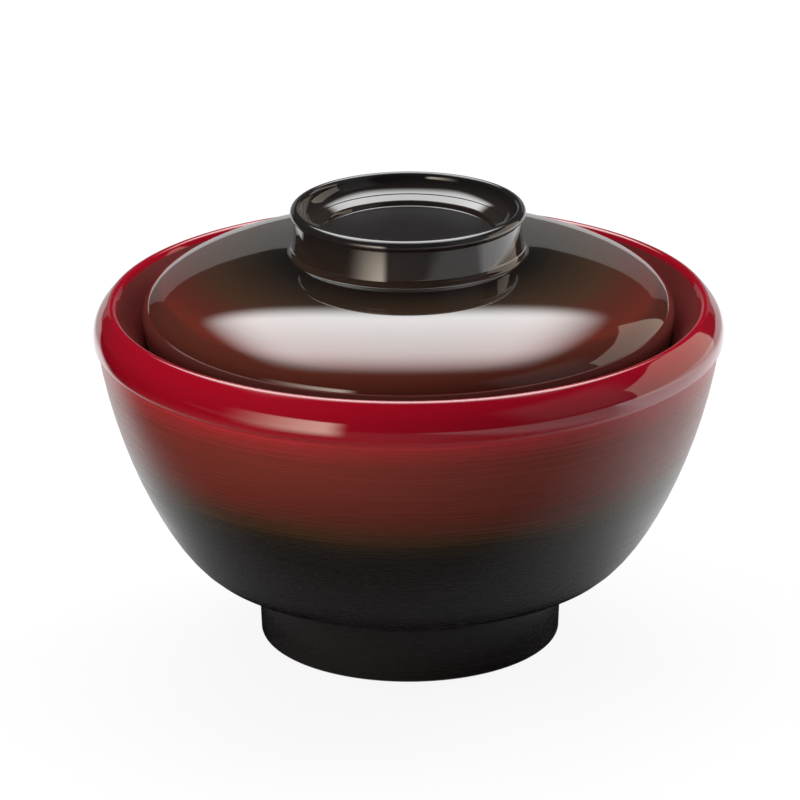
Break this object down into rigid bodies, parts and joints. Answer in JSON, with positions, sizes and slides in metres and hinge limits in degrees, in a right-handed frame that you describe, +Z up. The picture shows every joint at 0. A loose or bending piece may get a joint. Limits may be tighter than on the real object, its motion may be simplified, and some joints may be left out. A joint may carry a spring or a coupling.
{
  "type": "insulated soup bowl",
  "caption": "Round double-walled soup bowl on a ring foot, with a thick rim band and a domed insulated lid with a ring knob that rests inside the flared lip.",
  "frame": {"origin": "on the table, under the middle of the foot ring", "axes": "+Z up along the axis of the turned form; X and Y are free, as the part is round"},
  "size_m": [0.12, 0.12, 0.0855],
  "materials": {
    "brushed_lacquer_side": "satin, brown brushed rings fading to black at the foot",
    "red_lacquer_rim": "high gloss red",
    "shaded_lacquer_lid": "high gloss, black at the knob shading to red-brown at the edge",
    "lid_lining_lacquer": "gloss dark red-brown",
    "black_plug": "satin black",
    "foam": "pale rigid foam",
    "bond_resin": "cured resin"
  },
  "bodies": {
    "bowl": {"outer_bowl": "brushed_lacquer_side", "inner_bowl": "red_lacquer_rim", "bowl_insulation": "foam", "rim_bond_bead": "bond_resin", "foot_plug": "black_plug"},
    "lid": {"lid_cover": "shaded_lacquer_lid", "lid_lining": "lid_lining_lacquer", "lid_insulation": "foam", "lid_bond_bead": "bond_resin"}
  },
  "joints": [
    {"name": "lid_lift", "type": "slide", "parent": "bowl", "child": "lid", "axis": [0, 0, 1], "range_m": [0, 0.1]}
  ]
}
